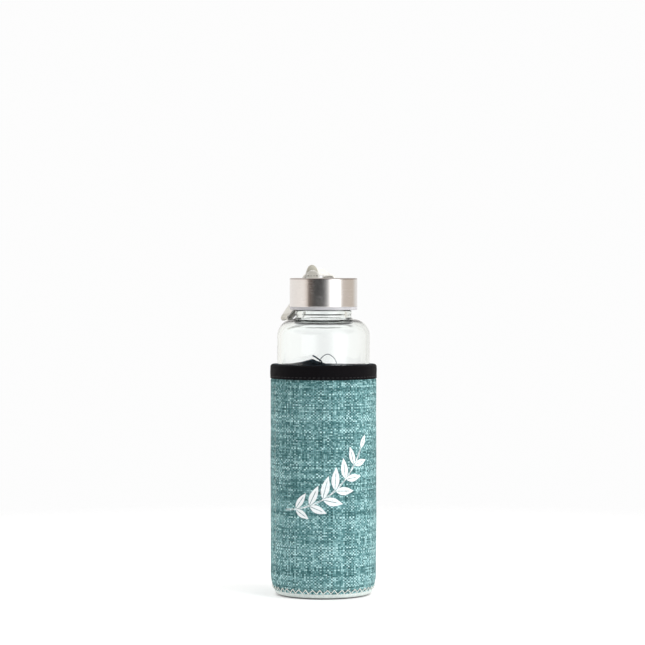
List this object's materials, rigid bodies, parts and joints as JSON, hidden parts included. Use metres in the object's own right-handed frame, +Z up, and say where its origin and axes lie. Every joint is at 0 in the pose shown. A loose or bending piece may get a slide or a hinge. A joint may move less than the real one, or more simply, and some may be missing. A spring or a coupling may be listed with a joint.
{
  "type": "glass water bottle",
  "caption": "Glass water bottle in a padded woven sleeve, with a brushed steel screw cap and a webbing carry strap.",
  "frame": {"origin": "on the bottle's axis, at the underside of the base panel", "axes": "+Z up along the bottle's axis; -Y is the printed front; +X is to the right as seen from the front"},
  "size_m": [0.0752, 0.0752, 0.2305],
  "materials": {
    "clear_glass": "clear polished soda-lime glass with a faint green edge",
    "brushed_steel": "satin stainless steel, brushed round the cap",
    "liner_plastic": "moulded polypropylene",
    "silicone": "translucent white silicone",
    "polished_steel": "drawn stainless pin",
    "strap_webbing": "cream woven webbing",
    "strap_thread": "polyester bartack thread",
    "teal_weave": "melange basket weave, teal with pale slubs",
    "grey_foam": "closed-cell foam padding",
    "lining_knit": "brushed knit lining",
    "seam_thread": "polyester sewing thread",
    "black_elastic": "woven elastic binding",
    "black_thread": "black sewing thread",
    "navy_thread": "dark thread ends",
    "pale_base_cloth": "pale grey-green base cloth",
    "cream_thread": "thick overlock thread"
  },
  "bodies": {
    "sleeve": {"sleeve_outer_fabric": "teal_weave", "sleeve_foam": "grey_foam", "sleeve_lining": "lining_knit", "side_seam_stitches": "seam_thread", "rim_binding": "black_elastic", "binding_topstitch": "black_thread", "binding_end_lap": "black_elastic", "binding_thread_tails": "navy_thread", "base_panel": "pale_base_cloth", "base_foam": "grey_foam", "base_lining": "lining_knit", "base_seam_stitches": "cream_thread"},
    "bottle": {"glass_bottle": "clear_glass"},
    "gasket": {"cap_gasket": "silicone"},
    "cap": {"cap_shell": "brushed_steel", "cap_liner": "liner_plastic", "strap_bar": "polished_steel"},
    "strap": {"carry_strap": "strap_webbing", "strap_bartack": "strap_thread"}
  },
  "joints": [
    {"name": "bottle_slide", "type": "slide", "parent": "sleeve", "child": "bottle", "axis": [0, 0, 1], "range_m": [0, 0.16]},
    {"name": "cap_lift", "type": "slide", "parent": "bottle", "child": "gasket", "axis": [0, 0, 1], "range_m": [0, 0.0212]},
    {"name": "cap_turn", "type": "hinge", "parent": "gasket", "child": "cap", "pos_m": [0, 0, 0.2106], "axis": [0, 0, 1], "range_deg": [0, 1800]},
    {"name": "strap_swing", "type": "hinge", "parent": "cap", "child": "strap", "pos_m": [-0.0077, 0, 0.2202], "axis": [1, 0, 0], "range_deg": [0, 60]}
  ],
  "couplings": [
    {"joint": "cap_lift", "follows": "cap_turn", "m_per_rad": 0.00067375}
  ]
}
